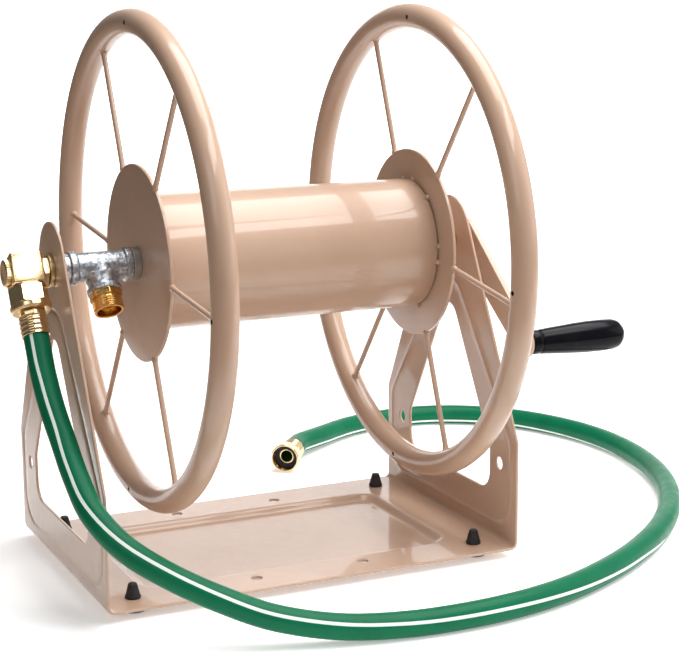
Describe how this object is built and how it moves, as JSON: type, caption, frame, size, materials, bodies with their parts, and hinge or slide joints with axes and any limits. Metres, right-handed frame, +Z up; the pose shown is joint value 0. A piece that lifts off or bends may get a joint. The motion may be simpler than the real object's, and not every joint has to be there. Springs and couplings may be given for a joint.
{
  "type": "garden hose reel",
  "caption": "Hose reel with a rolled-rim drum between two A-shaped uprights, a side crank, a swivel water inlet, a threaded outlet and a lying leader hose.",
  "frame": {"origin": "on the floor, at the middle of the box around the reel and its frame, without the hose", "axes": "+X along the axle towards the crank, +Y away from the side the crank arm leans to, +Z up"},
  "size_m": [0.7254, 0.6341, 0.5025],
  "materials": {
    "tan_paint": "glossy powder coat",
    "brass": "polished",
    "galvanised_iron": "galvanised",
    "zinc_steel": "zinc plated",
    "grip_plastic": "gloss",
    "nylon": "matte",
    "black_rubber": "matte",
    "hose_jacket": "satin vinyl with one white stripe"
  },
  "bodies": {
    "frame": {"base_pan": "tan_paint", "left_upright": "tan_paint", "right_upright": "tan_paint", "foot_front_left": "black_rubber", "foot_front_right": "black_rubber", "foot_rear_left": "black_rubber", "foot_rear_right": "black_rubber", "left_bush": "brass", "right_bush": "brass", "leader_hose": "hose_jacket", "far_ferrule": "brass"},
    "reel": {"left_rim": "tan_paint", "right_rim": "tan_paint", "left_spoke_1": "tan_paint", "left_spoke_2": "tan_paint", "left_spoke_3": "tan_paint", "left_spoke_4": "tan_paint", "left_spoke_5": "tan_paint", "left_spoke_6": "tan_paint", "right_spoke_1": "tan_paint", "right_spoke_2": "tan_paint", "right_spoke_3": "tan_paint", "right_spoke_4": "tan_paint", "right_spoke_5": "tan_paint", "right_spoke_6": "tan_paint", "left_hub_disc": "tan_paint", "right_hub_disc": "tan_paint", "drum": "tan_paint", "inlet_nipple": "galvanised_iron", "pipe_tee": "galvanised_iron", "hub_collar": "galvanised_iron", "outlet_connector": "brass", "hub_boss": "tan_paint", "crank_shaft": "zinc_steel", "cross_bolt": "zinc_steel", "cross_bolt_nut": "zinc_steel", "thrust_washer": "nylon", "crank_arm": "tan_paint", "grip_screw": "zinc_steel", "grip_nut": "zinc_steel", "grip_washer": "zinc_steel"},
    "grip": {"grip": "grip_plastic"},
    "inlet_elbow": {"elbow_body": "brass", "elbow_plug": "brass", "swivel_seal": "black_rubber", "gland_nut": "brass", "inlet_coupling_nut": "brass", "inlet_washer": "black_rubber", "inlet_ferrule": "brass"},
    "hose_coupling": {"far_coupling_nut": "brass", "far_washer": "black_rubber"}
  },
  "joints": [
    {"name": "reel_spin", "type": "hinge", "parent": "frame", "child": "reel", "pos_m": [-0.022, 0, 0.28], "axis": [1, 0, 0], "continuous": true},
    {"name": "grip_spin", "type": "hinge", "parent": "reel", "child": "grip", "pos_m": [0.228, -0.111, 0.1968], "axis": [1, 0, 0], "continuous": true},
    {"name": "inlet_swivel", "type": "hinge", "parent": "frame", "child": "inlet_elbow", "pos_m": [-0.26, 0, 0.28], "axis": [1, 0, 0], "range_deg": [-25, 25], "deforming": ["leader_hose"]},
    {"name": "coupling_spin", "type": "hinge", "parent": "frame", "child": "hose_coupling", "pos_m": [0.074, 0.222, 0.0158], "axis": [-0.6, -0.8, 0], "continuous": true}
  ]
}
